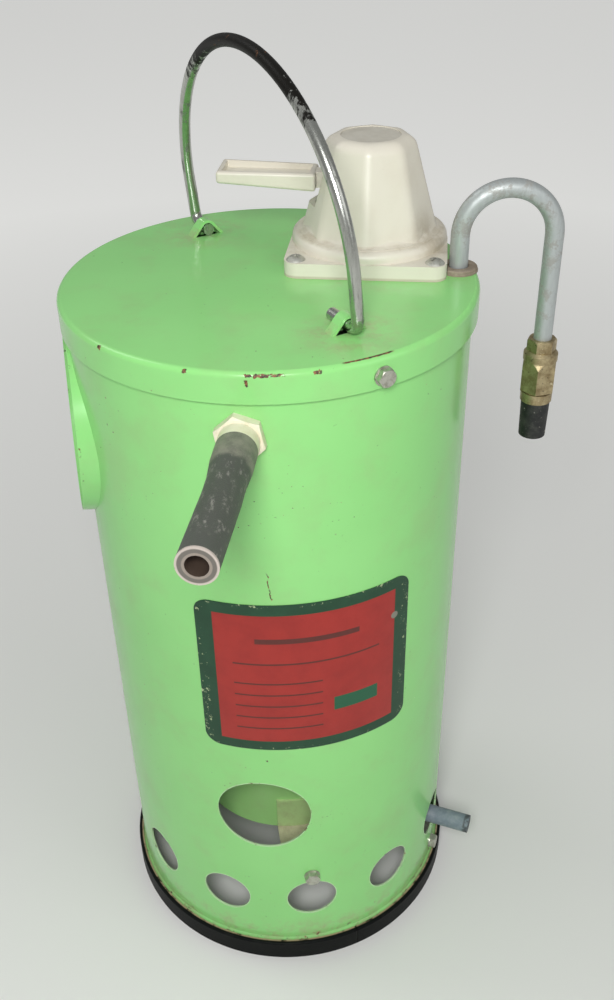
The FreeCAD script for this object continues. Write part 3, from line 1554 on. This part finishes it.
def inlet_hose():
    """The hose's stub: swollen over the barb, then almost straight to its cut end."""
    frame = facing(s.inlet_azimuth, 0, s.inlet_height)
    end = hose_seat + s.hose_straight
    sleeve_part = turned_shape([
        (s.hose_bore, hose_seat), (s.hose_bulge, hose_seat),
        (s.hose_bulge, hose_seat + s.hose_bulge_peak), (s.hose_radius, end), (s.hose_bore, end)])
    sleeve_part = moved(sleeve_part, frame)
    first = frame.multVec(V(0, 0, end))
    corner = frame.multVec(V(0, 0, end + s.hose_turn))
    tip = frame.multVec(V(-s.hose_veer, s.hose_lift, end + s.hose_turn + s.hose_run))
    print("inlet hose corner", corner, "tip", tip, "heading", unit(tip - corner))
    path = route([first, corner, tip], [s.hose_turn_radius])
    shape = sleeve_part.fuse(tube(path, s.hose_radius, s.hose_bore)).removeSplitter()
    return node(feature("inlet_hose", shape), "inlet_hose")


def inner_hose_path():
    """From the inlet's inner barb, past the flue duct's end, to the pump's inlet port."""
    away = outward(s.inlet_azimuth)
    seat = shell_inner - s.inlet_nut_wall
    start = away * float(seat) + V(0, 0, s.inlet_height)
    first = away * float(seat - s.inner_hose_lead) + V(0, 0, s.inlet_height)
    port = pump_frame.multiply(port_frame())
    end = port.multVec(V(0, 0, cylinder_radius + s.fit_gap))
    third = port.multVec(V(0, 0, cylinder_radius + s.inner_hose_rise))
    second = (outward(s.inner_hose_azimuth) * float(s.inner_hose_distance)
              + V(0, 0, (s.inlet_height + third.z) / 2 - s.inner_hose_sag))
    points = [start, first, second, third, end]
    radii = []
    for before, corner, after in zip(points, points[1:], points[2:]):
        half = (corner - before).getAngle(after - corner) / 2
        shorter = min((corner - before).Length, (after - corner).Length)
        radii.append(bend_share * shorter / math.tan(half))
    print("inner hose radii", ["%.1f" % radius for radius in radii])
    return route(points, radii)


def inner_hose():
    shape = tube(inner_hose_path(), s.inner_hose_radius, s.port_radius + s.fit_gap)
    return node(feature("inner_hose", shape), "inner_hose")


def hose_clamps():
    """Band clamps with a screw ear on both ends of the inner hose."""
    inner = s.inner_hose_radius + s.fit_gap
    outer = inner + s.clamp_wall
    half = s.clamp_length / 2
    ear = Part.makeBox(float(s.clamp_ear), float(s.clamp_ear), float(s.clamp_length),
                       V(outer - s.clamp_wall / 2, -s.clamp_ear / 2, -half))
    band = rod(outer, -half, half).fuse(ear).cut(rod(inner, -s.clamp_length, s.clamp_length))
    seat = shell_inner - s.inlet_nut_wall - s.clamp_length
    port = pump_frame.multiply(port_frame())
    places = [facing(s.inlet_azimuth, seat, s.inlet_height),
              port.multiply(FreeCAD.Placement(V(0, 0, cylinder_radius + s.clamp_length),
                                              FreeCAD.Rotation()))]
    return node(feature("hose_clamps", Part.makeCompound([moved(band, place) for place in places])),
                "hose_clamps")


# Label

def label_plate():
    """A thin bent plate on the shell with round corners."""
    inner = s.shell_radius + s.fit_gap / 2
    plate = sector("label_band", inner, inner + s.label_wall, s.label_low, s.label_high,
                   s.label_half_width, s.label_azimuth)
    frame = facing(s.label_azimuth, 0, 0)
    half, corner = s.label_half_width, s.label_corner
    block = Part.makeBox(float(half) * 2, float(s.label_high - s.label_low),
                         float(inner + s.overrun), V(-half, s.label_low, 0))
    uprights = [edge for edge in block.Edges if near(abs(edge.tangentAt(0).z), Size(1, "1"))]
    block = feature("label_block", block.makeFillet(float(corner), uprights), frame)
    return node(common("label_plate", [plate, block]), "label_plate")


def build():
    for make in (outer_shell, base_ring, lid, bail_handle, pump_base, pump_tower, pump_cap,
                 pivot_pin, pump_lever, piston_rod, rod_pin, piston, piston_seal, pump_cylinder,
                 rod_guide, lock_ring, pump_screws, spout_tube, spout_grommet, spout_washer,
                 spout_nut, spout_coupling, spout_hose, coil_union, heating_coil, outlet_sleeve,
                 inner_liner, flue_duct, flue_collar, liner_brackets, hex_screws, burner_bar,
                 burner_head, mixer_tube, gas_jet, gas_hose, inlet_fitting, inlet_nut,
                 inlet_hose, inner_hose, hose_clamps, label_plate):
        make()
    doc.recompute()


def check():
    """Stops on any failed object and on any piece that isn't whole."""
    for item in doc.Objects:
        if "Invalid" in item.State or "Error" in item.State:
            raise RuntimeError(item.Name + " failed: " + str(item.State))
    broken = [item.Label for item in NODES
              if item.Shape.isNull() or not item.Shape.isValid() or not item.Shape.Solids]
    if broken:
        raise RuntimeError("not whole: " + ", ".join(broken))


def write():
    os.makedirs("parts", exist_ok=True)
    for item in NODES:
        item.Shape.exportStep("parts/" + item.Label + ".step")
        box_size = item.Shape.BoundBox
        print("%-16s solids %d volume %.0f box %s" % (
            item.Label, len(item.Shape.Solids), item.Shape.Volume,
            ["%.1f" % side for side in (box_size.XMin, box_size.XMax, box_size.YMin,
                                        box_size.YMax, box_size.ZMin, box_size.ZMax)]))


build()
check()
write()
